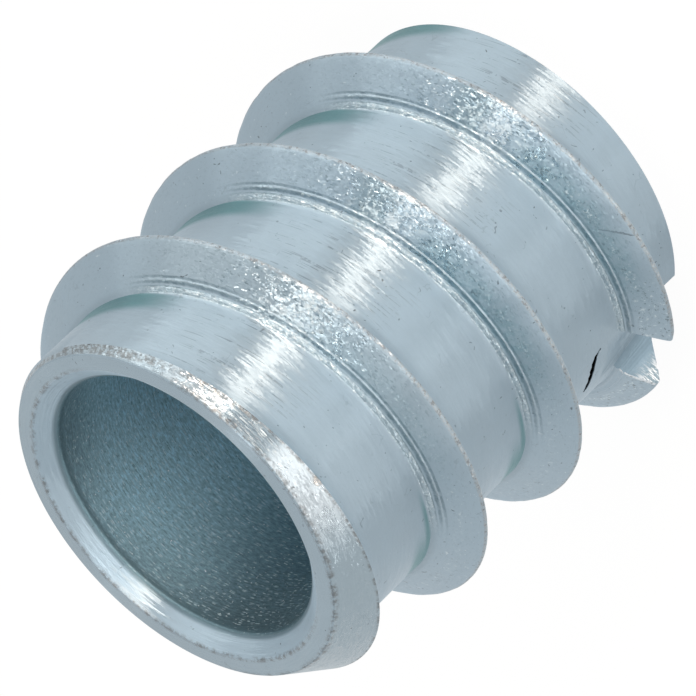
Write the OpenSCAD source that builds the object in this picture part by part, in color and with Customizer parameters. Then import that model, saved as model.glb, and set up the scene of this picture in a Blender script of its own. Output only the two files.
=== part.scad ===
// Screw-in insert for wood: a plain bored sleeve with one coarse right-hand thread outside.
// It stands on its leading end at z = 0, with the mouth of the bore up. All sizes are in millimetres.

/* [Sleeve] */
// Diameter of the plain bore
bore_diameter = 7.6; // [5:0.1:12]
// Thickness of the sleeve wall between the bore and the root of the thread
wall = 1.07; // [1:0.01:2]
// Length from the leading end to the mouth
length = 13.5; // [10:0.5:25]

/* [Mouth] */
// Width of the countersink, measured along the radius
countersink_width = 0.47; // [0.3:0.01:0.5]
// Depth of the countersink, measured along the axis
countersink_depth = 0.42; // [0.2:0.02:1]
// Width of the narrow rim around the countersink
rim_width = 0.47; // [0.2:0.01:0.5]
// Fall of the rim from its inner edge to its outer edge
rim_drop = 0.045; // [0.02:0.005:0.1]
// Angle of the taper that trims the sleeve and the thread at the mouth, measured from the axis
taper_angle = 32; // [20:1:50]

/* [Thread] */
// Height of the thread above its root
thread_height = 1.13; // [0.6:0.01:1.6]
// Advance of the thread in one turn
pitch = 3.78; // [2.8:0.02:5]
// Width of the narrow crest
crest_width = 0.1; // [0.06:0.02:0.3]
// Length along the axis of the flank that faces the mouth
mouth_flank = 0.72; // [0.3:0.02:1]
// Length along the axis of the flank that faces the leading end
lead_flank = 0.62; // [0.3:0.02:0.8]
// Height of the slanted foot below the flank that faces the mouth
foot_height = 0.16; // [0.1:0.02:0.3]
// Direction in which the crest passes the level of the mouth
start_angle = -96; // [-180:1:180]
// Height of the crest above the leading end where the full thread stops
lead_gap = 0.78; // [0.7:0.01:3]
// Angle over which the thread runs out at the leading end
runout_angle = 44; // [20:1:60]

/* [Cutting slot] */
// Angle along the thread from the cutting face to the stop of the full thread
slot_lead = 78; // [40:1:200]
// Height above the leading end at which the slot runs out
slot_height = 2.75; // [2.4:0.05:3.2]
// Depth of the slot below the root of the thread at the leading end
slot_depth = 0.32; // [0.1:0.02:0.5]
// Angle between the feet of the two walls of the slot at the leading end
slot_angle = 13; // [8:0.5:20]
// Further angle between the two walls where the slot runs out
slot_skew = 8; // [2:0.5:12]
// Angle that the cutting face leans over for each millimetre of radius
slot_lean = 3.4; // [1:0.1:6]
// Angle that the opposite wall leans back for each millimetre of radius
slot_slope = 6.8; // [3:0.1:12]

/* [Hidden] */
bore_r = bore_diameter / 2;
root_r = bore_r + wall;
crest_r = root_r + thread_height;
rim_r = bore_r + countersink_width + rim_width;
taper_run = thread_height + wall + 1;
taper_drop = taper_run / tan(taper_angle);
outer_r = rim_r + taper_run;
over = 1;
steps = 60;
above_turns = 1.1;
rows = ceil(steps * (length / pitch + above_turns + 1.1));
stop_turns = (length - lead_gap) / pitch;
stop_angle = start_angle - 360 * stop_turns;
face_angle = stop_angle + slot_lead;
zinc = [0.66, 0.71, 0.74];

// Section of the thread: height above the root, and distance along the axis from the crest
section = [
    [0, crest_width / 2 + mouth_flank],
    [foot_height, crest_width / 2 + mouth_flank * (1 - foot_height / thread_height) - 0.04],
    [thread_height, crest_width / 2],
    [thread_height, -crest_width / 2],
    [0, -crest_width / 2 - lead_flank]
];
corners = len(section);

// Turns of the thread from the level of the mouth down to a row
function turns(row) = row / steps - above_turns;

// Share of the full height that the thread has at a row: it runs out past its stop
function share(row) = let (past = 360 * (turns(row) - stop_turns)) max(0, min(1, 1 - past / runout_angle));

// A corner of the section at one row
function corner(p, row) = let (
        a = start_angle - 360 * turns(row),
        r = root_r + p[0] * share(row)
    ) [r * cos(a), r * sin(a), length - pitch * turns(row) + p[1]];

// Number of a corner in the list of points
function at(row, k) = row * corners + k;

// Both halves of a four-sided facet
function halves(a, b, c, d) = [[a, b, c], [a, c, d]];

// The sleeve's outside as one coiled skin: the thread, and the root between its turns
module skin() {
    top = rows * corners + corners;
    low = top + 1;
    ends = [[0, 0, length + pitch * above_turns], [0, 0, length - pitch * turns(rows)]];
    points = concat([for (i = [0:rows]) for (p = section) corner(p, i)], ends);
    thread = [
        for (i = [0:rows - 1]) for (k = [0:corners - 2])
            each halves(at(i, k), at(i + 1, k), at(i + 1, k + 1), at(i, k + 1))
    ];
    root = [
        for (i = [0:rows - steps - 1])
            let (k = corners - 1, j = i + steps)
                each halves(at(i, k), at(i + 1, k), at(j + 1, 0), at(j, 0))
    ];
    cap_top = concat(
        [for (i = [0:steps - 1]) [top, at(i + 1, 0), at(i, 0)]],
        [for (k = [0:corners - 2]) [top, at(0, k), at(0, k + 1)]],
        [[top, at(0, corners - 1), at(steps, 0)]]
    );
    cap_low = concat(
        [for (i = [rows - steps:rows - 1]) [low, at(i, corners - 1), at(i + 1, corners - 1)]],
        [for (k = [0:corners - 2]) [low, at(rows, k + 1), at(rows, k)]],
        [[low, at(rows, 0), at(rows - steps, corners - 1)]]
    );
    polyhedron(points = points, faces = concat(thread, root, cap_top, cap_low), convexity = 12);
}

// Four corners of the slot at a height: both feet, then both outer edges
function slot_corners(z) = let (
        foot = root_r - slot_depth * (1 - z / slot_height),
        out = crest_r + 0.6,
        back = slot_angle + slot_skew * z / slot_height
    ) [
        [foot * cos(0), foot * sin(0), z],
        [foot * cos(-back), foot * sin(-back), z],
        [out * cos(-back - slot_slope * (out - root_r)), out * sin(-back - slot_slope * (out - root_r)), z],
        [out * cos(-slot_lean * (out - root_r)), out * sin(-slot_lean * (out - root_r)), z]
    ];

// Slanted slot from the leading end through the last turn, which leaves a cutting edge on the thread
module slot() {
    points = concat(slot_corners(-0.5), slot_corners(slot_height));
    faces = concat(
        halves(0, 1, 2, 3),
        halves(7, 6, 5, 4),
        halves(0, 4, 5, 1),
        halves(1, 5, 6, 2),
        halves(2, 6, 7, 3),
        halves(3, 7, 4, 0)
    );
    rotate([0, 0, face_angle])
        polyhedron(points = points, faces = faces);
}

// Turned away at the mouth: everything above the rim and outside the taper
module mouth_trim() {
    rotate_extrude($fn = 180)
        polygon([
            [0, length],
            [rim_r - rim_width, length],
            [rim_r, length - rim_drop],
            [outer_r, length - rim_drop - taper_drop],
            [outer_r + over, length - rim_drop - taper_drop],
            [outer_r + over, length + 3 * pitch],
            [0, length + 3 * pitch]
        ]);
}

// Everything below the leading end
module lead_trim() {
    translate([0, 0, -3 * pitch])
        cylinder(r = outer_r + over, h = 3 * pitch, $fn = 180);
}

// Bore with its countersink at the mouth
module bore() {
    slope = countersink_width / countersink_depth;
    rotate_extrude($fn = 180)
        polygon([
            [0, -over],
            [bore_r, -over],
            [bore_r, length - countersink_depth],
            [bore_r + countersink_width + slope * over, length + over],
            [0, length + over]
        ]);
}

// The whole insert
module insert() {
    color(zinc)
        difference() {
            skin();
            mouth_trim();
            lead_trim();
            bore();
            slot();
        }
}

insert();
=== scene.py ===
"""Looks of a zinc-plated threaded insert: the threaded sleeve, its finish, and a plain studio stage."""
import math

import bmesh
import bpy
import numpy as np
from mathutils import Matrix, Vector, noise


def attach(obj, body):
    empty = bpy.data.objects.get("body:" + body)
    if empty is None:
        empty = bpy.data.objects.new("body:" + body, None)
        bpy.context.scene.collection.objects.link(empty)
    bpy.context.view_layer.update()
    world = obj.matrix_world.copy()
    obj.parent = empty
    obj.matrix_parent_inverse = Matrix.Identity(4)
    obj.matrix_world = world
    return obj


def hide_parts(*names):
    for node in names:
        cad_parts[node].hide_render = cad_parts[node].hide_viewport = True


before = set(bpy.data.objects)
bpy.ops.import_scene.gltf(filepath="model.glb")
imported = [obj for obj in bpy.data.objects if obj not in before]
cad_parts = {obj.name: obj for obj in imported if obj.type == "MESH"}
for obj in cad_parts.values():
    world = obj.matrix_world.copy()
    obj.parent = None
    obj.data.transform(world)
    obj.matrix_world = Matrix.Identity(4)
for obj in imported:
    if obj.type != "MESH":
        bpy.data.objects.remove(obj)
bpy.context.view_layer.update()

bl_info = {
    "name": "Threaded insert",
    "version": (1, 0, 0),
    "blender": (4, 5, 0),
    "location": "3D View > Sidebar > Insert",
    "description": "Builds a zinc-plated threaded insert for wood and its studio stage",
    "category": "Object",
}

MM = 0.001
DEGREE = math.pi / 180
# Facets around the axis
FACETS = 180
# The bore sits a little off the axis: x and y in mm
BORE_SHIFT = (0.03, -0.045)
# The thread is this much lower past the cutting slot
LOWER_PAST_SLOT = 0.075
# Fine ripples at the foot of the thread: from and to a share of its height, and how tall in mm
FOOT_RIPPLES = [(0.0, 0.125, 0.024), (0.125, 0.215, -0.02), (0.215, 0.27, 0.015), (0.27, 0.32, -0.012)]
# Fillet behind the thread: height above the root and way past the flank, in mm
FILLET = [(0.165, -0.07), (0.1, 0.03), (0.05, 0.15), (0.02, 0.27), (0.0, 0.42)]
# The dent on the taper: its place in mm
DENT = (-1.709, -4.826, 12.85)
# The split in the wall: turn in degrees, then depth below the mouth and width in mm
CRACK = [
    (-60.2, 10.5, 0.05),
    (-60.8, 10.46, 0.14),
    (-61.4, 10.36, 0.19),
    (-62.4, 10.3, 0.15),
    (-63.6, 10.26, 0.2),
    (-65.0, 10.25, 0.17),
    (-66.4, 10.21, 0.21),
    (-67.8, 10.23, 0.18),
    (-69.2, 10.19, 0.2),
    (-70.8, 10.2, 0.17),
    (-72.4, 10.16, 0.2),
    (-73.8, 10.15, 0.18),
    (-75.0, 10.11, 0.16),
    (-75.8, 10.1, 0.05),
]
# Lamps: name, direction, direction of the height, distance, width and height in metres, radiance, colour
LAMPS = [
    ("strip", (0.09, -0.202, 0.0805), (-0.06, 0.0355, 0.155), 0.235, 0.03, 0.17, 18.0, (1, 0.8, 0.66)),
    ("side", (0.88, -0.42, 0.2), (0, 0, 1), 0.25, 0.2, 0.1, 3.2, (1, 0.95, 0.9)),
    ("front", (-0.215, -0.83, 0.5), (0, 0, 1), 0.28, 0.22, 0.1, 3.0, (1, 0.95, 0.91)),
    ("small", (-0.72, -0.64, 0.2), (0, 0, 1), 0.25, 0.2, 0.06, 2.6, (1, 0.92, 0.87)),
    ("top", (0.02, -0.12, 0.975), (0, 1, 0), 0.25, 0.022, 0.1, 7.6, (1, 0.95, 0.9)),
    ("edge", (0.965, 0.17, 0.2), (0, 0, 1), 0.25, 0.14, 0.1, 0.9, (1, 0.95, 0.9)),
]
WORLD_STRENGTH = 0.88
# The point that the camera and the lamps look at
MIDDLE = Vector((0, 0, 6.778 * MM))
# The picture: its width in pixels, its scale at the middle, and the camera's shift to the right and up in pixels
PICTURE_WIDTH = 696
PIXEL = MM / 41.532
CAMERA_SHIFT = (2.04, 2.59)
SENSOR_WIDTH = 36


def length_property(name, description, millimetres):
    """A length setting, stored in metres."""
    return bpy.props.FloatProperty(
        name=name, description=description, default=millimetres * MM, unit="LENGTH", precision=5
    )


def degrees_property(name, description, degrees):
    """An angle setting, stored in radians."""
    return bpy.props.FloatProperty(
        name=name, description=description, default=math.radians(degrees), subtype="ANGLE"
    )


def colour_property(name, description, colour):
    """A linear colour setting."""
    return bpy.props.FloatVectorProperty(
        name=name, description=description, default=colour, size=3, min=0, max=1, subtype="COLOR"
    )


class InsertSizes(bpy.types.PropertyGroup):
    """Sizes of the threaded sleeve."""
    bore: length_property("Bore", "Diameter of the plain bore", 7.6)
    root: length_property("Root", "Diameter at the root of the thread", 9.74)
    crest: length_property("Crest", "Diameter over the crest of the thread", 12.0)
    length: length_property("Length", "From the leading end to the mouth", 13.5)
    pitch: length_property("Pitch", "Advance of the thread in one turn", 3.78)
    crest_width: length_property("Crest width", "Width of the narrow crest", 0.1)
    mouth_flank: length_property("Mouth flank", "Length along the axis of the flank that faces the mouth", 0.72)
    lead_flank: length_property("Lead flank", "Length along the axis of the flank that faces the leading end", 0.62)
    countersink_width: length_property("Countersink width", "Width of the countersink along the radius", 0.47)
    countersink_depth: length_property("Countersink depth", "Depth of the countersink along the axis", 0.42)
    rim: length_property("Rim", "Width of the flat rim around the countersink", 0.47)
    rim_drop: length_property("Rim drop", "Fall of the rim from its inner to its outer edge", 0.045)
    lead_gap: length_property("Lead gap", "Height of the crest where the full thread stops", 0.78)
    taper: degrees_property("Taper", "Angle of the tapered mouth from the axis", 32)
    start: degrees_property("Start", "Direction in which the crest passes the mouth", -96)
    runout: degrees_property("Run-out", "Angle over which the thread fades at the leading end", 44)
    slot_lead: degrees_property("Slot lead", "Angle from the cutting face to the stop of the full thread", 78)
    slot_height: length_property("Slot height", "Height at which the slot runs out", 2.75)
    slot_depth: length_property("Slot depth", "Depth of the slot below the root at the leading end", 0.32)
    slot_angle: degrees_property("Slot angle", "Angle between the feet of the slot walls at the leading end", 13)
    slot_skew: degrees_property("Slot skew", "Further angle between the walls where the slot runs out", 8)
    slot_lean: degrees_property("Slot lean", "Lean of the cutting face for each millimetre of radius", 3.4)
    slot_slope: degrees_property("Slot slope", "Lean of the opposite wall for each millimetre of radius", 6.8)


class InsertFinish(bpy.types.PropertyGroup):
    """Colours of the plated steel."""
    zinc: colour_property("Zinc", "Pale blue-grey zinc plate", (0.378, 0.476, 0.545))
    worn: colour_property("Worn edge", "Bare steel at worn edges", (0.4, 0.435, 0.455))
    # The bore wall gets its darkness from painted shade laid on in bore_colour.
    bore: colour_property("Bore", "Darker grainy zinc on the bore wall", (0.355, 0.56, 0.655))
    # The shade colour is painted shade: teal laid in the corners behind the thread.
    shade: colour_property("Shade", "Teal film in the corners behind the thread", (0.12, 0.27, 0.29))
    pit: colour_property("Pit", "Dark pits and scratches", (0.05, 0.055, 0.06))


class InsertStage(bpy.types.PropertyGroup):
    """Floor, light and camera."""
    floor: colour_property("Floor", "Colour of the pale floor", (0.9, 0.9, 0.9))
    elevation: degrees_property("Elevation", "Height angle of the camera", 32.34)
    roll: degrees_property("Roll", "Turn of the camera about its own axis", 134.12)
    distance: length_property("Distance", "From the camera to the middle of the insert", 191.3)


class Sock:
    """A shader socket that takes part in Python expressions."""

    def __init__(self, tree, socket):
        self.tree = tree
        self.socket = socket

    @staticmethod
    def make(tree, kind, settings=None, inputs=None, output=0):
        """Adds a node, sets it, fills or links its sockets, and gives one of its outputs."""
        node = tree.nodes.new(kind)
        for key, value in (settings or {}).items():
            setattr(node, key, value)
        for key, value in (inputs or {}).items():
            if isinstance(value, Sock):
                tree.links.new(value.socket, node.inputs[key])
            else:
                node.inputs[key].default_value = value
        return Sock(tree, node.outputs[output]) if node.outputs else None

    def math(self, operation, *others):
        """One Math node with this socket as its first input."""
        return Sock.make(self.tree, "ShaderNodeMath", {"operation": operation}, dict(enumerate((self, *others))))

    def __add__(self, other):
        return self.math("ADD", other)

    __radd__ = __add__

    def __mul__(self, other):
        return self.math("MULTIPLY", other)

    __rmul__ = __mul__

    def __sub__(self, other):
        return self.math("SUBTRACT", other)

    def __rsub__(self, other):
        return Sock.make(self.tree, "ShaderNodeMath", {"operation": "SUBTRACT"}, {0: other, 1: self})

    def __truediv__(self, other):
        return self.math("DIVIDE", other)

    def __rtruediv__(self, other):
        return Sock.make(self.tree, "ShaderNodeMath", {"operation": "DIVIDE"}, {0: other, 1: self})

    def __neg__(self):
        return self.math("MULTIPLY", -1.0)

    def __abs__(self):
        return self.math("ABSOLUTE")

    def __pow__(self, power):
        return self.math("POWER", power)

    def most(self, other):
        """The larger of two values."""
        return self.math("MAXIMUM", other)

    def step(self, low, high):
        """Smooth step from 0 at low to 1 at high; low may be above high."""
        values = {"Value": self, "From Min": low, "From Max": high, "To Min": 0.0, "To Max": 1.0}
        return Sock.make(self.tree, "ShaderNodeMapRange", {"interpolation_type": "SMOOTHSTEP"}, values)


def new_tree(name):
    """A material with an empty node tree."""
    material = bpy.data.materials.new(name)
    material.use_nodes = True
    material.node_tree.nodes.clear()
    return material, material.node_tree


def colour4(colour):
    """A colour with full opacity."""
    return (*colour, 1.0)


def coated(tree, base, coats):
    """A colour under coats of other colours, each laid on by its own factor over the ones before it."""
    for factor, colour in coats:
        values = {"Factor": factor, "A": base, "B": colour4(colour)}
        base = Sock.make(tree, "ShaderNodeMix", {"data_type": "RGBA"}, values, 2)
    return base


def vector_math(tree, operation, first, second=None, scale=None):
    """One Vector Math node."""
    values = {0: first}
    if second is not None:
        values[1] = second
    if scale is not None:
        values["Scale"] = scale
    return Sock.make(tree, "ShaderNodeVectorMath", {"operation": operation}, values)


class Plate:
    """The sheet of sockets that the recipe of the zinc plate fills in step by step, with lengths in mm."""

    def __init__(self, tree, sizes):
        """Finds a spot's height, radius, turn about the axis, and place along the thread."""
        self.tree = tree
        self.length = sizes.length / MM
        self.crest_r = sizes.crest / MM / 2
        self.root_r = sizes.root / MM / 2
        self.bore_r = sizes.bore / MM / 2
        self.sink_r = self.bore_r + sizes.countersink_width / MM
        self.rim_r = self.sink_r + sizes.rim / MM
        self.half_crest = sizes.crest_width / MM / 2
        self.foot = self.half_crest + sizes.mouth_flank / MM
        self.lead_flank = sizes.lead_flank / MM

        self.spot = vector_math(tree, "SCALE", Sock.make(tree, "ShaderNodeTexCoord", output="Object"), scale=1 / MM)
        self.facing = Sock.make(tree, "ShaderNodeTexCoord", output="Normal")
        self.x, self.y, self.z = x, y, z = self.parts(self.spot)
        tilt_x, tilt_y, self.up = self.parts(self.facing)
        self.radius = (x * x + y * y) ** 0.5
        self.turn = x.math("ARCTAN2", -y)
        self.outward = (tilt_x * x + tilt_y * y) / self.radius
        self.sideways = (tilt_y * x - tilt_x * y) / self.radius
        off_x, off_y = x - BORE_SHIFT[0], y - BORE_SHIFT[1]
        self.bore_radius = (off_x * off_x + off_y * off_y) ** 0.5
        self.taper_r = self.rim_r + (self.length - sizes.rim_drop / MM - z) * math.tan(sizes.taper)
        pitch = sizes.pitch / MM
        phase = (z - self.length) / pitch - (self.turn - (sizes.start + math.pi / 2)) / (2 * math.pi)
        self.along = (phase - phase.math("ROUND")) * pitch

    def parts(self, vector):
        """The three parts of a vector or colour."""
        first = Sock.make(self.tree, "ShaderNodeSeparateXYZ", None, {0: vector})
        return [Sock(self.tree, output) for output in first.socket.node.outputs]

    def vector(self, a, b, c):
        """A vector from three values."""
        return Sock.make(self.tree, "ShaderNodeCombineXYZ", None, {0: a, 1: b, 2: c})

    def wound(self, around, across):
        """A place measured around the axis and across the turns, each at its own scale."""
        return self.vector(self.turn * around, self.z * across, self.radius * across)

    def moved(self, place, push, amount):
        """A place pushed aside."""
        return vector_math(self.tree, "ADD", place, vector_math(self.tree, "SCALE", push, scale=amount))

    def swing(self, low, high):
        """Smooth step over the turn about the axis, in degrees from the front."""
        return self.turn.step(low * DEGREE, high * DEGREE)

    def grain(self, place, scale, detail=2.0, rough=0.5, output=0):
        """Soft noise."""
        values = {"Vector": place, "Scale": scale, "Detail": detail, "Roughness": rough}
        return Sock.make(self.tree, "ShaderNodeTexNoise", {"noise_dimensions": "3D"}, values, output)

    def cells(self, place, scale, feature="F1", output=0):
        """Distance in a pattern of cells."""
        values = {"Vector": place, "Scale": scale, "Randomness": 1.0}
        return Sock.make(self.tree, "ShaderNodeTexVoronoi", {"feature": feature}, values, output)

    def picks(self, place, scale=1.0):
        """Three chance values for each cell of a pattern."""
        return self.parts(self.cells(place, scale, "F1", 1))


def add_grain(p):
    """Noise of several kinds: clouds, patches, specks, sand, flakes, and strokes drawn around the axis."""
    p.cloud = p.grain(p.spot, 1.1, 3.0, 0.6)
    p.patch = p.grain(p.spot, 3.2, 4.0, 0.7)
    p.speck = p.grain(p.spot, 9.0, 3.0, 0.7)
    p.sand = p.grain(p.spot, 20.0, 2.0, 0.6)
    p.ripple = p.grain(p.spot, 9.0, output=1)
    p.bent = p.moved(p.spot, p.grain(p.spot, 2.2, output=1), 0.9)
    p.flake_turn, p.flake_tip, p.flake_pick = p.picks(p.moved(p.spot, p.ripple, 0.12), 15.0)
    p.fine_turn, p.fine_tip, p.fine_pick = p.picks(p.moved(p.wound(72.0, 33.0), p.ripple, 2.6))
    p.sparse = p.fine_pick.step(0.5, 0.7)
    drawn = p.moved(p.wound(9.0, 22.0), p.ripple, 0.9)
    p.stroke_turn, p.stroke_tip = p.picks(drawn)[:2]
    p.rub_turn, p.rub_tip, p.rub_pick = p.picks(vector_math(p.tree, "SCALE", drawn, scale=1.9))
    p.rings = p.grain(p.wound(2.0, 40.0), 1.0, 2.0, 0.6)
    p.streak = p.grain(p.wound(9.0, 36.0), 1.0, 3.0, 0.7)
    p.hammer = p.grain(p.wound(36.0, 15.0), 1.0, 2.0, 0.6)
    p.swept = p.grain(p.vector((p.z + 0.3 * p.radius) * 26.0, p.radius * 5.0, 0.5), 1.0, 2.0, 0.6)


def add_places(p):
    """Masks from 0 to 1 of where each kind of surface lies."""
    radius, root_r, z, up = p.radius, p.root_r, p.z, p.up
    p.inside = p.bore_radius.step(p.bore_r + 0.06, p.bore_r + 0.02)
    # Painted shade: a dark band at the bore's edge by the mouth
    p.bore_lip = p.bore_radius.step(p.bore_r + 0.15, p.bore_r + 0.06) * z.step(p.length - 0.66, p.length - 0.5)
    p.on_root = abs(up).step(0.35, 0.15) * (1 - p.inside)
    p.on_flank = up.step(0.6, 0.72) * radius.step(root_r + 0.05, root_r + 0.2)
    p.on_taper = abs(radius - p.taper_r).step(0.06, 0.03) * up.step(0.35, 0.45) * up.step(0.75, 0.65)
    p.on_taper = p.on_taper * p.outward.step(0.3, 0.5)
    p.on_sink = p.outward.step(-0.2, -0.4) * up.step(0.3, 0.5)
    p.on_land = up.step(0.93, 0.98) * z.step(p.length - 0.12, p.length - 0.06)
    p.on_crest = radius.step(p.crest_r - 0.065, p.crest_r - 0.025)

    # Parts of the flank that face the light
    p.first_turn = z.step(8.2, 9.4)
    p.in_front = p.swing(-45, -8) * p.swing(75, 40)
    bright_side = p.swing(-14, 2) * p.swing(50, 26)
    # Painted shade: darker teal on the inner flank on one side of the front, weaker on the first turn
    p.film = p.on_flank * radius.step(root_r + 1.05, root_r + 0.5) * p.swing(-58, -30) * p.swing(13, 0)
    p.film = p.film * (1 - 0.65 * p.first_turn)
    p.hammered = p.on_flank * (0.08 + p.in_front * (0.1 + 0.2 * p.patch.step(0.45, 0.6)) + 0.4 * bright_side)
    p.speckled = p.on_flank * (0.15 + 0.15 * p.in_front + 0.7 * bright_side * p.patch.step(0.4, 0.56))
    p.speckled = p.speckled + 0.5 * p.film * p.patch.step(0.42, 0.58)

    # Bead, ridge and lines at the foot of the thread: the dark lines in the grooves are painted shade, the pale
    # bead and ridge painted highlights
    at_foot = radius.step(root_r - 0.05, root_r - 0.02) * radius.step(root_r + 0.5, root_r + 0.35)
    at_foot = at_foot * (1 - p.on_taper) * z.step(2.1, 2.3)
    at_foot = at_foot * p.swing(72, 50) * p.swing(-70, -48).most(z.step(5.2, 4.4))
    p.climb = p.foot - p.along + 0.04 * (p.patch - 0.5)
    p.bead = p.climb.step(-0.03, 0.0) * p.climb.step(0.105, 0.08) * at_foot
    p.ridge = p.climb.step(0.15, 0.165) * p.climb.step(0.205, 0.19) * at_foot
    p.groove = abs(p.climb - 0.1).step(0.024, 0.008).most(abs(p.climb - 0.155).step(0.02, 0.006))
    p.groove = p.groove.most(abs(p.climb - 0.222).step(0.022, 0.008)) * at_foot
    p.groove = p.groove * (1 - 0.5 * bright_side) * (0.4 + 0.6 * p.patch.step(0.36, 0.58))

    # Parts of the taper
    p.rubbed = p.on_taper * p.swing(-9, -2) * p.swing(13, 7)
    # Painted highlight: the taper is paler where the lamp's highlight falls
    p.shiny = p.on_taper * p.swing(-44, -22) * p.swing(-3, -9)
    p.polished = p.on_taper * p.swing(10, 14) * p.swing(36, 28)

    # The slot: its walls, the tip of the cutting edge, and the painted highlight along its upper edge
    p.slot_wall = p.sideways.step(0.2, 0.45) * (1 - p.inside)
    p.tip = p.slot_wall * radius.step(root_r + 0.3, root_r + 0.8)
    inner_edge = -80.4 * DEGREE - (radius - 5.05) * (8 * DEGREE)
    outer_edge = -82.4 * DEGREE - (radius - 5.3) * (2.6 * DEGREE)
    past_edge = inner_edge.most(outer_edge) - p.turn
    p.lip = past_edge.step(-1.0 * DEGREE, -0.4 * DEGREE) * past_edge.step(1.4 * DEGREE, 0.6 * DEGREE)
    p.lip = p.lip * p.on_flank * radius.step(root_r + 0.05, root_r + 0.25) * z.step(2.7, 2.4)


def add_marks(p):
    """Masks of the wear and the marks (bare edges, smears, tool lines, pits, scratches and scuffs), and of painted
    shade on the flank, behind the thread and inside the split.
    """
    radius, root_r, z, speck, patch = p.radius, p.root_r, p.z, p.speck, p.patch
    p.score = p.grain(p.vector(p.turn * 3.0, p.along * 15.0, 2.7), 1.0, 2.0, 0.6).step(0.58, 0.64)
    p.score = p.score * p.on_root * patch.step(0.43, 0.53) * p.swing(-10, 6) * p.swing(54, 22)
    dent_off = Sock.make(p.tree, "ShaderNodeVectorMath", {"operation": "DISTANCE"}, {0: p.spot, 1: DENT}, "Value")
    p.dent = dent_off.step(0.2, 0.1)

    # Worn edges
    p.crest_wear = p.on_crest * (0.3 + 0.7 * p.sand.step(0.42, 0.58))
    lead_r = p.crest_r - (-p.along - p.half_crest) / p.lead_flank * (p.crest_r - root_r)
    edge_r = lead_r.most(root_r).math("MINIMUM", p.crest_r)
    taper_wear = p.on_taper * (edge_r - radius).step(0.2, 0.06) * speck.step(0.38, 0.56)
    sink_line = abs(p.bore_radius - p.sink_r - 0.02).step(0.1, 0.02) * p.turn.math("COSINE").step(0.55, 0.0)
    rim_line = abs(radius - p.rim_r - 0.02).step(0.14, 0.02) * p.swing(40, 20) * p.swing(-150, -120)
    line_wear = sink_line.most(rim_line) * speck.step(0.36, 0.6) * patch.step(0.38, 0.56)
    line_wear = line_wear * z.step(p.length - 0.2, p.length - 0.1)
    p.smear = line_wear.most(taper_wear * patch.step(0.36, 0.54))

    # Pits, hairs, dots and one scratch
    pit = p.cells(p.bent, 1.5).step(0.06, 0.03)
    hair = p.cells(p.bent, 1.15, "DISTANCE_TO_EDGE").step(0.02, 0.006) * p.grain(p.spot, 1.9).step(0.6, 0.66)
    dots = p.cells(p.bent, 3.4).step(0.14, 0.06)
    dot_pick = p.picks(p.bent, 3.4)[1]
    scratch_at = 23.2 * DEGREE + (radius - 5.39) * (8.8 * DEGREE) + 0.03 * (speck - 0.5)
    scratch = abs(p.turn + scratch_at).step(0.4 * DEGREE, 0.15 * DEGREE)
    scratch = scratch * radius.step(5.36, 5.4) * radius.step(6.0, 5.9) * z.step(3.0, 2.8)
    p.pale_dots = dots * dot_pick.step(0.3, 0.2) * p.on_flank
    dark_dots = dots * dot_pick.step(0.5, 0.7) * (0.6 + 0.25 * p.on_flank)
    p.mark = pit.most(hair * 0.18 * (1 - p.on_sink)).most(dark_dots).most(scratch * 0.65) * (1 - 0.7 * p.inside)

    # Chatter marks and scuffs on the flank, and painted shade where the flank is dimmer
    p.chatter = p.on_flank * p.climb.step(0.28, 0.33) * p.climb.step(0.47, 0.4) * p.swing(14, -6)
    p.chatter = p.chatter * (0.4 + 0.6 * z.step(5.0, 4.0)) * patch.step(0.4, 0.54)
    scuffed = p.on_flank * p.swing(-34, -50) * radius.step(root_r + 0.38, root_r + 0.48)
    rare = 0.05 * z.step(3.6, 4.4)
    p.dark_scuff = scuffed * (speck + rare).step(0.4, 0.35)
    p.pale_scuff = scuffed * (speck - rare).step(0.6, 0.65)
    p.dim = p.on_flank * (1 - p.first_turn) * p.swing(15, 20) * p.swing(30, 24)

    # Painted shade: teal in the corner behind the thread, and black inside the split
    below = p.along - p.foot
    upper = z.step(4.0, 4.8)
    shade = p.swing(42, 62).most(upper * p.swing(-60, -80)) * below.step(0.74, 0.38)
    shade = shade.most(0.9 * upper * p.swing(-44, -58) * below.step(0.26, 0.08))
    p.shade = shade * abs(p.turn).step(140 * DEGREE, 100 * DEGREE) * p.on_root * below.step(-0.05, 0.02)
    p.split = radius.step(root_r - 0.005, root_r - 0.03) * radius.step(p.bore_r + 0.1, p.bore_r + 0.2)
    p.split = p.split * z.step(p.length - 9.6, p.length - 9.7) * z.step(p.length - 10.68, p.length - 10.6)


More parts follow.
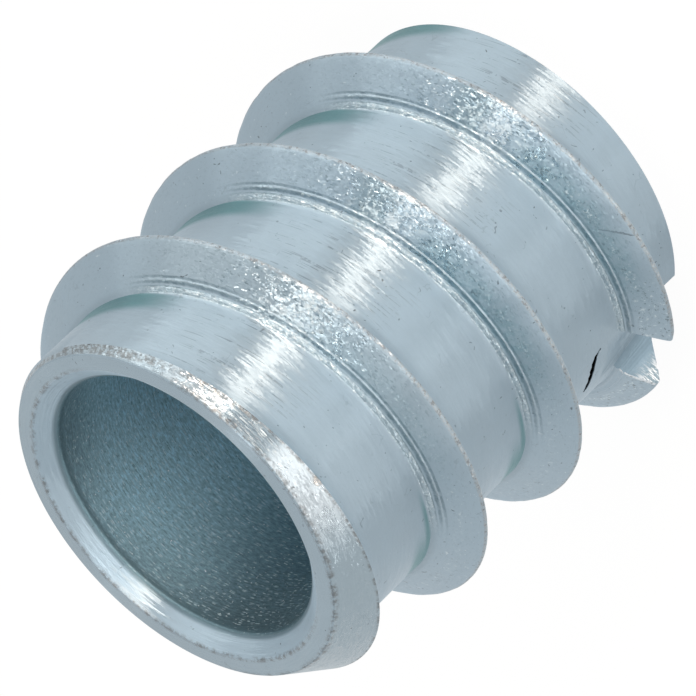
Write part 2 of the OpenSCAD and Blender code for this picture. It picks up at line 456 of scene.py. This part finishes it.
def tilted_normal(p):
    """The normal, leaned around the axis and rolled across it by flakes, specks, strokes and sand."""
    lathe_part = (1 - p.on_flank) * (1 - p.inside)
    flaky = 0.35 * p.hammered + 0.3 * p.tip + 0.03 * lathe_part
    fine = p.sparse * (0.8 * p.speckled + 0.7 * p.on_crest + 0.8 * p.tip + 0.3 * p.on_taper)
    fine = fine + 0.55 * p.bead + 0.5 * p.ridge + 0.2 * p.groove + 0.04 * lathe_part
    drawn = 0.1 * lathe_part * (1 - p.on_taper)
    rub = 0.2 * p.on_taper + 0.45 * p.rubbed + 0.4 * p.bead + 0.7 * p.tip
    rings = p.on_sink * (p.rings - 0.5)

    lean = flaky * (p.flake_turn - 0.5) + fine * (p.fine_turn - 0.5) + drawn * (p.stroke_turn - 0.5)
    lean = lean + rub * (p.rub_turn - 0.5) + 0.7 * rings + (0.1 + 0.5 * p.inside) * (p.sand - 0.5)
    lean = lean + 0.4 * p.hammered * (p.hammer - 0.5) - 0.06 * p.polished + 0.35 * p.dent
    roll = flaky * (p.flake_tip - 0.5) + fine * (p.fine_tip - 0.5) + drawn * (p.stroke_tip - 0.5)
    roll = roll + rub * (p.rub_tip - 0.5) + 0.6 * rings + 0.4 * p.lip + 0.2 * p.score
    roll = roll + (0.14 + 0.3 * p.swing(-8, 6)) * lathe_part * (p.streak - 0.5)

    around = vector_math(p.tree, "NORMALIZE", p.vector(-p.y, p.x, 0.0))
    across = vector_math(p.tree, "CROSS_PRODUCT", p.facing, around)
    normal = p.moved(p.moved(p.facing, around, lean), across, roll)
    return vector_math(p.tree, "NORMALIZE", normal)


def plate_colour(p, finish):
    """Colour of the plate outside the bore: pale zinc under its coats of wear and marks, of painted shade and of
    painted highlights.
    """
    pale = 0.94 + 0.06 * p.cloud.step(0.3, 0.7) + 0.08 * p.on_flank + 0.06 * p.on_taper + 0.02 * p.on_land
    # Painted light: the root is lifted between the lamps' highlights, and the countersink to broaden its highlight
    pale = pale + 0.1 * p.on_root * p.swing(-14, -4) * p.swing(11, 5) + 0.18 * p.on_sink - 0.34 * p.score
    base = vector_math(p.tree, "SCALE", tuple(finish.zinc), scale=pale)

    greyed = p.on_flank * p.first_turn * p.in_front
    satin = p.on_taper * (0.55 + 0.25 * p.patch) + 0.45 * greyed + 0.4 * p.on_land
    pale_crest = p.on_crest * p.swing(4, -24) * p.sand.step(0.4, 0.6)
    # Painted highlights: the bead and the ridge at the foot are laid on paler
    pale_foot = p.bead * (0.1 + 0.35 * p.rub_pick) + 0.3 * p.ridge * p.fine_pick
    speck, bright = p.speck, (0.95, 0.97, 0.97)
    return coated(p.tree, base, [
        (p.crest_wear * 0.6, finish.worn),
        (pale_crest * 0.5, (0.46, 0.485, 0.485)),
        (satin, (0.325, 0.393, 0.43)),
        (p.rubbed * (0.3 + 0.5 * p.rub_pick), (0.175, 0.22, 0.255)),
        # painted highlight where the lamp falls on the taper, and paler polished metal
        (0.6 * p.shiny + 0.35 * p.polished, (0.54, 0.585, 0.61)),
        (p.smear * 0.65, (0.16, 0.155, 0.15)),
        (p.pale_dots * 0.5, (0.72, 0.8, 0.83)),
        (p.dent * 0.6, (0.2, 0.2, 0.195)),
        (p.mark * 0.75, finish.pit),
        # painted shade in the grooves at the foot
        (p.groove * 0.6, (0.11, 0.17, 0.2)),
        (pale_foot, (0.56, 0.68, 0.71)),
        # painted shade on the inner flank
        (p.film * (0.42 + 0.35 * p.patch.step(0.35, 0.6)), (0.21, 0.335, 0.39)),
        (p.speckled * p.fine_pick.step(0.88, 0.9) * 0.5, (0.12, 0.17, 0.19)),
        (p.tip * 0.7, (0.28, 0.36, 0.4)),
        # painted highlight streaks on the tip of the cutting edge
        (p.tip * p.swept.step(0.46, 0.58) * 0.9, bright),
        # painted highlight along the slot's upper edge
        (p.lip * (0.35 + 0.6 * speck.step(0.35, 0.6)), bright),
        (p.chatter * speck.step(0.53, 0.63) * 0.6, (0.66, 0.76, 0.79)),
        (p.chatter * speck.step(0.42, 0.34) * 0.5, (0.14, 0.19, 0.2)),
        (p.dark_scuff * 0.6, (0.12, 0.15, 0.16)),
        (p.pale_scuff * 0.6, (0.66, 0.75, 0.78)),
        # painted shade on the flank beside the highlight
        (p.dim * 0.45, (0.2, 0.3, 0.35)),
        # painted glints on the bead
        (p.bead * p.sparse * 0.45 * speck.step(0.4, 0.6), (0.85, 0.92, 0.94)),
        (p.on_crest * speck.step(0.52, 0.64) * 0.65, (0.185, 0.18, 0.178)),
        # painted shade at the bore's edge
        (p.bore_lip * 0.75, (0.1, 0.165, 0.195)),
        # painted shade: teal in the corner behind the thread
        (p.shade * 0.85, finish.shade),
        # painted shade on the slot's walls
        (p.slot_wall * (1 - p.tip) * 0.7, (0.19, 0.28, 0.345)),
        # painted shade: black inside the split
        (p.split, (0.004, 0.004, 0.004)),
    ])


def bore_colour(p, finish):
    """Colour of the bore's wall: zinc under painted light and shade, with honing marks, painted glints and dark
    pits.
    """
    x, z, mouth = p.x, p.z, p.length
    # Painted light and shade: the wall's brightness follows x and the depth from the mouth
    lit = (0.64 + 0.74 * x.step(-3.6, 1.6)) * (1 - 0.42 * x.step(1.2, 3.4) * z.step(mouth - 3.0, mouth - 0.7))
    lit = 0.93 * lit * (1 - 0.3 * z.step(mouth - 1.8, mouth - 0.5))
    lit = lit * (1 - 0.3 * x.step(-1.2, -3.0) * z.step(mouth - 4.0, mouth - 1.2))
    fleck = p.grain(p.vector(p.turn * 20.0, z * 17.0, 3.0), 1.0, 4.0, 0.8)
    wall = vector_math(p.tree, "SCALE", tuple(finish.bore), scale=lit * (0.66 + 0.56 * fleck.step(0.36, 0.74)))

    honed = p.moved(p.vector(p.turn * 22.0, z * 24.0, 1.0), p.ripple, 0.9)
    hone, hone_pick = p.cells(honed, 1.0).step(0.55, 0.2), p.picks(honed)[0]
    busy = z.step(mouth - 8.0, mouth - 3.0) * (1 - 0.6 * x.step(1.6, 3.2))
    spark, spark_pick = p.cells(p.spot, 14.0).step(0.3, 0.12), p.picks(p.spot, 14.0)[0]
    return coated(p.tree, wall, [
        # painted glints along the honing marks
        (hone * hone_pick.step(0.55, 1.0) * (0.14 + 0.55 * busy), (0.66, 0.8, 0.85)),
        (hone * hone_pick.step(0.3, 0.05) * 0.5, (0.1, 0.17, 0.2)),
        # painted glints
        (spark * spark_pick.step(0.86, 0.94) * 0.8, (0.85, 0.93, 0.95)),
        (spark * spark_pick.step(0.22, 0.12) * 0.6, (0.06, 0.1, 0.12)),
        # painted glints
        (p.cells(p.spot, 8.0).step(0.2, 0.1) * p.flake_pick.step(0.97, 0.98), (1.0, 1.0, 1.0)),
        # painted shade at the bore's edge
        (p.bore_lip * 0.75, (0.1, 0.165, 0.195)),
    ])


def zinc_material(sizes, finish):
    """Zinc plate on turned steel: turning lines, hammered flanks, grain, pits, worn edges, painted shade and
    painted highlights.
    """
    material, tree = new_tree("zinc_plate")
    p = Plate(tree, sizes)
    add_grain(p)
    add_places(p)
    add_marks(p)
    normal = tilted_normal(p)
    rough = 0.4 - 0.16 * p.on_land + 0.1 * (p.cloud - 0.5) + 0.08 * p.smear
    rough = rough - 0.12 * p.on_taper + 0.1 * p.rubbed - 0.12 * p.speckled
    turned = Sock.make(
        tree, "ShaderNodeBsdfPrincipled", None,
        {
            "Base Color": plate_colour(p, finish),
            "Metallic": 1.0,
            "Roughness": rough,
            "Normal": normal,
            "Anisotropic": 1.0,
            "Anisotropic Rotation": 0.25,
        },
    )
    grainy = Sock.make(
        tree, "ShaderNodeBsdfPrincipled", None,
        {"Base Color": bore_colour(p, finish), "Metallic": 0.85, "Roughness": 0.55, "Normal": normal},
    )
    shader = Sock.make(tree, "ShaderNodeMixShader", None, {0: p.inside, 1: turned, 2: grainy})
    Sock.make(tree, "ShaderNodeOutputMaterial", None, {"Surface": shader})
    return material


def only(thing):
    """Selects one object and makes it the active one."""
    bpy.ops.object.select_all(action="DESELECT")
    thing.select_set(True)
    bpy.context.view_layer.objects.active = thing
    return thing


def chain(name, points, close):
    """A line of edges through points, drawn by extruding one vertex of a plane."""
    bpy.ops.object.select_all(action="DESELECT")
    bpy.ops.mesh.primitive_plane_add(size=MM)
    thing = bpy.context.active_object
    thing.name = name
    bpy.ops.object.mode_set(mode="EDIT")
    bpy.ops.mesh.select_all(action="SELECT")
    bpy.ops.mesh.merge(type="CENTER")
    bpy.ops.transform.translate(value=points[0])
    for before, after in zip(points, points[1:]):
        move = Vector(after) - Vector(before)
        bpy.ops.mesh.extrude_region_move(TRANSFORM_OT_translate={"value": move})
    if close:
        mesh = bmesh.from_edit_mesh(thing.data)
        mesh.verts.ensure_lookup_table()
        for vert in mesh.verts:
            vert.select = len(vert.link_edges) == 1
        mesh.select_flush_mode()
        bmesh.update_edit_mesh(thing.data)
        bpy.ops.mesh.edge_face_add()
    bpy.ops.object.mode_set(mode="OBJECT")
    return thing


def thread_outline(sizes):
    """One pitch of the outside, from the mouth side to the lead side, as (radius, height from the crest)."""
    root, crest = sizes.root / 2, sizes.crest / 2
    tall = crest - root
    half = sizes.crest_width / 2
    run = sizes.mouth_flank
    foot = half + run
    points = [
        (root, foot + 0.6 * MM),
        (root, foot + 0.3 * MM),
        (root, foot + 0.1 * MM),
        (root + 0.008 * MM, foot + 0.04 * MM),
    ]
    for share in [0.02 * i for i in range(1, 18)] + [0.38, 0.46, 0.55, 0.65, 0.75, 0.85, 0.93]:
        ripple = 0.0
        for first, last, tallest in FOOT_RIPPLES:
            if first <= share < last:
                ripple = tallest * MM * math.sin(math.pi * (share - first) / (last - first))
        points.append((root + tall * share + 1.23 * ripple, foot - run * share + 0.4 * ripple))
    points += [
        (crest - 0.028 * MM, half + 0.012 * MM),
        (crest - 0.006 * MM, half * 0.6),
        (crest, 0.0),
        (crest - 0.006 * MM, -half * 0.6),
        (crest - 0.03 * MM, -half - 0.008 * MM),
    ]
    for share in (0.8, 0.6, 0.4, 0.22):
        points.append((root + tall * share, -half - sizes.lead_flank * (1 - share)))
    for rise, past in FILLET:
        points.append((root + rise * MM, -half - sizes.lead_flank - past * MM))
    points.append((root, foot + 0.6 * MM - sizes.pitch))
    return points


def coiled_skin(sizes):
    """The outside of the sleeve: one pitch of its outline, coiled up by a Screw modifier and cut off square."""
    outline = thread_outline(sizes)
    turns_below, turns_above = 6, 3
    level = sizes.length + sizes.pitch * (-sizes.start / (2 * math.pi) - turns_below)
    skin = chain("insert_body", [(r, 0.0, level + h) for r, h in outline], False)
    only(skin)
    screw = skin.modifiers.new("Thread", "SCREW")
    screw.axis = "Z"
    screw.angle = 2 * math.pi
    screw.screw_offset = sizes.pitch
    screw.iterations = turns_below + turns_above
    screw.steps = FACETS
    screw.render_steps = FACETS
    screw.use_merge_vertices = True
    screw.merge_threshold = 0.001 * MM
    screw.use_smooth_shade = True
    bpy.ops.object.modifier_apply(modifier="Thread")
    fade_thread(skin, sizes)
    bpy.ops.object.mode_set(mode="EDIT")
    bpy.ops.mesh.select_all(action="SELECT")
    bpy.ops.mesh.remove_doubles(threshold=0.001 * MM)
    above_mouth = sizes.length + 0.4 * MM
    for height, keep in ((0.0, {"clear_inner": True}), (above_mouth, {"clear_outer": True})):
        bpy.ops.mesh.select_all(action="SELECT")
        bpy.ops.mesh.bisect(plane_co=(0, 0, height), plane_no=(0, 0, 1), use_fill=True, threshold=1e-7, **keep)
    bpy.ops.mesh.select_all(action="SELECT")
    bpy.ops.mesh.normals_make_consistent(inside=False)
    bpy.ops.object.mode_set(mode="OBJECT")
    return skin


def fade_thread(skin, sizes):
    """Runs the thread out near the leading end, smooths its foot at the sides and behind, and nicks its crest."""
    mesh = skin.data
    place = np.zeros(len(mesh.vertices) * 3, np.float32)
    mesh.vertices.foreach_get("co", place)
    place = place.reshape(-1, 3).astype(float)
    radius = np.hypot(place[:, 0], place[:, 1])
    theta = np.arctan2(place[:, 1], place[:, 0])
    azimuth = np.degrees(np.arctan2(place[:, 0], -place[:, 1]))
    root, crest = sizes.root / 2, sizes.crest / 2
    phase = (place[:, 2] - sizes.length) / sizes.pitch - (theta - sizes.start) / (2 * math.pi)
    along = (phase - np.round(phase)) * sizes.pitch
    level = place[:, 2] - along
    past = (sizes.lead_gap - level) / sizes.pitch * 2 * math.pi
    share = np.clip(1 - past / sizes.runout, 0, 1)
    after_slot = np.clip((past + sizes.slot_lead) / 0.1, 0, 1)

    climb = sizes.crest_width / 2 + sizes.mouth_flank - along
    plain = np.clip(climb, 0, None) * (crest - root) / sizes.mouth_flank
    smooth = np.clip((azimuth - 46) / 20, 0, 1)
    smooth += np.clip((-azimuth - 52) / 18, 0, 1) * (level > 4.0 * MM)
    smooth += np.clip((-azimuth - 100) / 15, 0, 1)
    smooth = np.clip(smooth, 0, 1) * (climb > -0.02 * MM) * (climb < 0.35 * sizes.mouth_flank)
    height = np.maximum(radius - root, 0)
    height = (height * (1 - smooth) + plain * smooth) * share * (1 - LOWER_PAST_SLOT * after_slot)

    near_crest = np.clip((radius - crest + 0.12 * MM) / (0.12 * MM), 0, 1)
    for i in np.nonzero(near_crest > 0)[0]:
        spot = Vector(place[i]) / MM
        nick = noise.noise(spot * 2.3) * 0.6 + noise.noise(spot * 7.0) * 0.4
        height[i] -= near_crest[i] * share[i] * MM * (0.012 + 0.03 * max(0.0, nick))
    scale = (np.minimum(radius, root) + np.maximum(height, 0)) / radius
    place[:, 0] *= scale
    place[:, 1] *= scale
    mesh.vertices.foreach_set("co", place.astype(np.float32).ravel())
    mesh.update()


def lathe(name, outline, steps):
    """A closed solid of revolution about the axis from an outline of (radius, height)."""
    thing = chain(name, [(r, 0.0, h) for r, h in outline], True)
    only(thing)
    bpy.ops.object.mode_set(mode="EDIT")
    bpy.ops.mesh.select_all(action="SELECT")
    bpy.ops.mesh.delete(type="ONLY_FACE")
    bpy.ops.mesh.select_all(action="SELECT")
    bpy.ops.mesh.spin(steps=steps, angle=2 * math.pi, center=(0, 0, 0), axis=(0, 0, 1), use_auto_merge=True)
    bpy.ops.mesh.select_all(action="SELECT")
    bpy.ops.mesh.remove_doubles(threshold=0.0005 * MM)
    bpy.ops.mesh.normals_make_consistent(inside=False)
    bpy.ops.object.mode_set(mode="OBJECT")
    return thing


def rounded(corners, radii, count=4):
    """An outline with its corners rounded to about the given radii."""
    points = []
    total = len(corners)
    for i, corner in enumerate(corners):
        here = Vector(corner)
        back = Vector(corners[i - 1]) - here
        ahead = Vector(corners[(i + 1) % total]) - here
        if not radii[i]:
            points.append(tuple(here))
            continue
        reach = radii[i] / math.tan(back.angle(ahead) / 2)
        first = here + back.normalized() * reach
        last = here + ahead.normalized() * reach
        for k in range(count + 1):
            t = k / count
            points.append(tuple(first * (1 - t) ** 2 + here * (2 * t * (1 - t)) + last * t * t))
    return points


def envelope(sizes):
    """The turned shape that trims the skin: bore, countersink, rim and taper, with the bore off centre."""
    bore, top = sizes.bore / 2, sizes.length
    sink = bore + sizes.countersink_width
    rim = sink + sizes.rim
    far = sizes.crest / 2 + 0.6 * MM
    drop = sizes.rim_drop + (far - rim) / math.tan(sizes.taper)
    low = -1.0 * MM
    corners = [
        (bore, low),
        (bore, top - sizes.countersink_depth),
        (sink, top),
        (rim, top - sizes.rim_drop),
        (far, top - drop),
        (far, low),
    ]
    radii = [0, 0.12 * MM, 0.1 * MM, 0.09 * MM, 0, 0]
    tool = lathe("mouth_tool", rounded(corners, radii), FACETS)
    only(tool)
    bpy.ops.object.mode_set(mode="EDIT")
    bpy.ops.mesh.select_mode(type="VERT")
    bpy.ops.mesh.select_all(action="DESELECT")
    mesh = bmesh.from_edit_mesh(tool.data)
    for vert in mesh.verts:
        vert.select = math.hypot(vert.co.x, vert.co.y) < sink + 0.12 * MM
    mesh.select_flush_mode()
    bmesh.update_edit_mesh(tool.data)
    bpy.ops.transform.translate(value=(BORE_SHIFT[0] * MM, BORE_SHIFT[1] * MM, 0))
    bpy.ops.object.mode_set(mode="OBJECT")
    return tool


def cut(body, tool, operation):
    """Applies one Boolean with a tool, then removes the tool."""
    only(body)
    modifier = body.modifiers.new("Cut", "BOOLEAN")
    modifier.operation = operation
    modifier.object = tool
    modifier.solver = "EXACT"
    bpy.ops.object.modifier_apply(modifier="Cut")
    bpy.data.objects.remove(tool)


def seal(body):
    """Merges the points that the cuts left almost together, so that the skin is closed."""
    only(body)
    bpy.ops.object.mode_set(mode="EDIT")
    bpy.ops.mesh.select_all(action="SELECT")
    bpy.ops.mesh.remove_doubles(threshold=0.0004 * MM)
    bpy.ops.mesh.select_all(action="SELECT")
    bpy.ops.mesh.dissolve_degenerate(threshold=0.0002 * MM)
    bpy.ops.mesh.select_all(action="SELECT")
    bpy.ops.mesh.normals_make_consistent(inside=False)
    bpy.ops.object.mode_set(mode="OBJECT")


def loft(name, first, second):
    """A closed solid between two rings of as many points."""
    shift = Vector(second[0]) - Vector(first[0])
    tool = chain(name, first, True)
    only(tool)
    bpy.ops.object.mode_set(mode="EDIT")
    bpy.ops.mesh.select_all(action="SELECT")
    bpy.ops.mesh.edge_face_add()
    bpy.ops.mesh.extrude_region()
    bpy.ops.transform.translate(value=shift)
    bpy.ops.object.mode_set(mode="OBJECT")
    for vert in list(tool.data.vertices)[len(first):]:
        near = min(range(len(first)), key=lambda k: (Vector(first[k]) + shift - vert.co).length)
        vert.co = second[near]
    bpy.ops.object.mode_set(mode="EDIT")
    bpy.ops.mesh.select_all(action="SELECT")
    bpy.ops.mesh.quads_convert_to_tris()
    bpy.ops.mesh.normals_make_consistent(inside=False)
    bpy.ops.object.mode_set(mode="OBJECT")
    return tool


def slot_tool(sizes):
    """The slanted block that clears the cutting slot: a steep face on one side and a leaning wall on the other."""
    root, out = sizes.root / 2, sizes.crest / 2 + 0.6 * MM
    face = sizes.start - 2 * math.pi * (sizes.length - sizes.lead_gap) / sizes.pitch + sizes.slot_lead
    reach = (out - root) / MM

    def ring(height):
        """The block's outline at a height, with the foot of its leaning wall well rounded."""
        foot = root - sizes.slot_depth * (1 - height / sizes.slot_height)
        back = sizes.slot_angle + sizes.slot_skew * height / sizes.slot_height
        polar = [(foot, 0.0), (foot, back), (out, back + sizes.slot_slope * reach), (out, sizes.slot_lean * reach)]
        corners = [(r * math.cos(face - t), r * math.sin(face - t)) for r, t in polar]
        return [(px, py, height) for px, py in rounded(corners, [0, 1.6 * MM, 0, 0], 14)]

    return loft("slot_tool", ring(-0.5 * MM), ring(sizes.slot_height))


def crack_tool(sizes):
    """The thin curved slit where the wall has split beside the slot."""
    inner, outer = sizes.root / 2 - 0.45 * MM, sizes.root / 2 + 0.1 * MM
    top = sizes.length + 0.056 * MM

    def place(angle, depth):
        """A point on the inner side of the slit."""
        turn = math.radians(angle)
        return (inner * math.sin(turn), -inner * math.cos(turn), top - depth * MM)

    tool = chain("crack_tool", [place(a, d - w / 2) for a, d, w in CRACK], False)
    only(tool)
    bpy.ops.object.mode_set(mode="EDIT")
    bpy.ops.mesh.select_all(action="SELECT")
    bpy.ops.mesh.extrude_edges_move(TRANSFORM_OT_translate={"value": (0, 0, -0.1 * MM)})
    bpy.ops.object.mode_set(mode="OBJECT")
    for vert in list(tool.data.vertices)[len(CRACK):]:
        near = min(CRACK, key=lambda p: math.dist(place(p[0], 0)[:2], vert.co[:2]))
        vert.co = place(near[0], near[1] + near[2] / 2)
    bpy.ops.object.mode_set(mode="EDIT")
    bpy.ops.mesh.select_all(action="SELECT")
    bpy.ops.mesh.extrude_region()
    grow = outer / inner
    bpy.ops.transform.resize(value=(grow, grow, 1), center_override=(0, 0, 0))
    bpy.ops.mesh.select_all(action="SELECT")
    bpy.ops.mesh.normals_make_consistent(inside=False)
    bpy.ops.object.mode_set(mode="OBJECT")
    return tool


class INSERT_OT_body(bpy.types.Operator):
    """Builds the threaded sleeve with its bore, tapered mouth and cutting slot"""
    bl_idname = "insert.body"
    bl_label = "Threaded sleeve"

    def execute(self, context):
        sizes, finish = context.scene.insert_sizes, context.scene.insert_finish
        body = coiled_skin(sizes)
        cut(body, envelope(sizes), "INTERSECT")
        cut(body, slot_tool(sizes), "DIFFERENCE")
        cut(body, crack_tool(sizes), "DIFFERENCE")
        seal(body)
        bpy.ops.object.shade_smooth_by_angle(angle=math.radians(32))
        body.data.materials.clear()
        body.data.materials.append(zinc_material(sizes, finish))
        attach(body, "root")
        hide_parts("insert")
        return {"FINISHED"}


def floor_material(stage):
    """Pale floor: white to the eye and in reflections, with a soft shadow."""
    material, tree = new_tree("pale_floor")
    seen = 0.94 * Sock.make(tree, "ShaderNodeLightPath", output="Is Camera Ray")
    seen = seen.most(0.5 * Sock.make(tree, "ShaderNodeLightPath", output="Is Glossy Ray"))
    matt = Sock.make(tree, "ShaderNodeBsdfDiffuse", None, {"Color": colour4(stage.floor)})
    white = Sock.make(tree, "ShaderNodeEmission", None, {"Color": (1, 1, 1, 1), "Strength": 1.0})
    mixed = Sock.make(tree, "ShaderNodeMixShader", None, {0: seen, 1: matt, 2: white})
    Sock.make(tree, "ShaderNodeOutputMaterial", None, {"Surface": mixed})
    return material


def pose(right, up, back, spot):
    """A placing whose own x, y and z point right, up and back, at a spot."""
    return Matrix((
        (right.x, up.x, back.x, spot.x),
        (right.y, up.y, back.y, spot.y),
        (right.z, up.z, back.z, spot.z),
        (0, 0, 0, 1),
    ))


def add_lamp(name, direction, long_way, distance, width, height, radiance, colour):
    """A soft rectangular lamp that looks at the middle, its height along a given direction."""
    data = bpy.data.lights.new(name, "AREA")
    data.shape = "RECTANGLE"
    data.size = width
    data.size_y = height
    data.energy = radiance * math.pi * width * height
    data.color = colour
    lamp = bpy.data.objects.new(name, data)
    bpy.context.scene.collection.objects.link(lamp)
    back = Vector(direction).normalized()
    side = Vector(long_way).cross(back).normalized()
    lamp.matrix_world = pose(side, back.cross(side), back, MIDDLE + back * distance)


def add_camera(scene, stage):
    """The camera at the photograph's angle, rolled about its own axis."""
    data = bpy.data.cameras.new("camera")
    camera = bpy.data.objects.new("camera", data)
    scene.collection.objects.link(camera)
    scene.camera = camera
    tilt, roll = stage.elevation, stage.roll
    ahead = Vector((0, math.cos(tilt), -math.sin(tilt)))
    across = Vector((1, 0, 0))
    over = Vector((0, math.sin(tilt), math.cos(tilt)))
    right = across * math.cos(roll) - over * math.sin(roll)
    up = across * math.sin(roll) + over * math.cos(roll)
    spot = MIDDLE - ahead * stage.distance + right * (CAMERA_SHIFT[0] * PIXEL) + up * (CAMERA_SHIFT[1] * PIXEL)
    camera.matrix_world = pose(right, up, -ahead, spot)
    data.sensor_width = SENSOR_WIDTH
    data.lens = SENSOR_WIDTH * (stage.distance / PIXEL) / PICTURE_WIDTH
    data.clip_start = 0.01
    data.clip_end = 10


class INSERT_OT_stage(bpy.types.Operator):
    """Sets the pale floor, the soft lamps, the world and the camera"""
    bl_idname = "insert.stage"
    bl_label = "Studio stage"

    def execute(self, context):
        scene, stage = context.scene, context.scene.insert_stage
        bpy.ops.object.select_all(action="DESELECT")
        bpy.ops.mesh.primitive_plane_add(size=1.2)
        floor = context.active_object
        floor.name = "floor"
        floor.data.materials.append(floor_material(stage))
        for settings in LAMPS:
            add_lamp(*settings)

        scene.world = bpy.data.worlds.new("studio")
        scene.world.use_nodes = True
        background = scene.world.node_tree.nodes["Background"]
        background.inputs["Color"].default_value = (1, 1, 1, 1)
        background.inputs["Strength"].default_value = WORLD_STRENGTH
        add_camera(scene, stage)
        scene.view_settings.view_transform = "Standard"
        return {"FINISHED"}


class INSERT_PT_panel(bpy.types.Panel):
    """Lists the steps and their settings"""
    bl_label = "Threaded insert"
    bl_idname = "INSERT_PT_panel"
    bl_space_type = "VIEW_3D"
    bl_region_type = "UI"
    bl_category = "Insert"

    def draw(self, context):
        layout = self.layout
        for group in (context.scene.insert_sizes, context.scene.insert_finish, context.scene.insert_stage):
            box = layout.box()
            for key in group.bl_rna.properties.keys():
                if key not in ("rna_type", "name"):
                    box.prop(group, key)
        for operator in (INSERT_OT_body, INSERT_OT_stage):
            layout.operator(operator.bl_idname)


GROUPS = {"insert_sizes": InsertSizes, "insert_finish": InsertFinish, "insert_stage": InsertStage}
CLASSES = (InsertSizes, InsertFinish, InsertStage, INSERT_OT_body, INSERT_OT_stage, INSERT_PT_panel)


def register():
    """Registers the classes and hangs the settings on the scene."""
    for cls in CLASSES:
        bpy.utils.register_class(cls)
    for name, group in GROUPS.items():
        setattr(bpy.types.Scene, name, bpy.props.PointerProperty(type=group))


def unregister():
    """Takes away what register added."""
    for name in GROUPS:
        delattr(bpy.types.Scene, name)
    for cls in reversed(CLASSES):
        bpy.utils.unregister_class(cls)


def main():
    """Builds the insert and its stage."""
    register()
    bpy.ops.insert.body()
    bpy.ops.insert.stage()


if __name__ == "__main__":
    main()
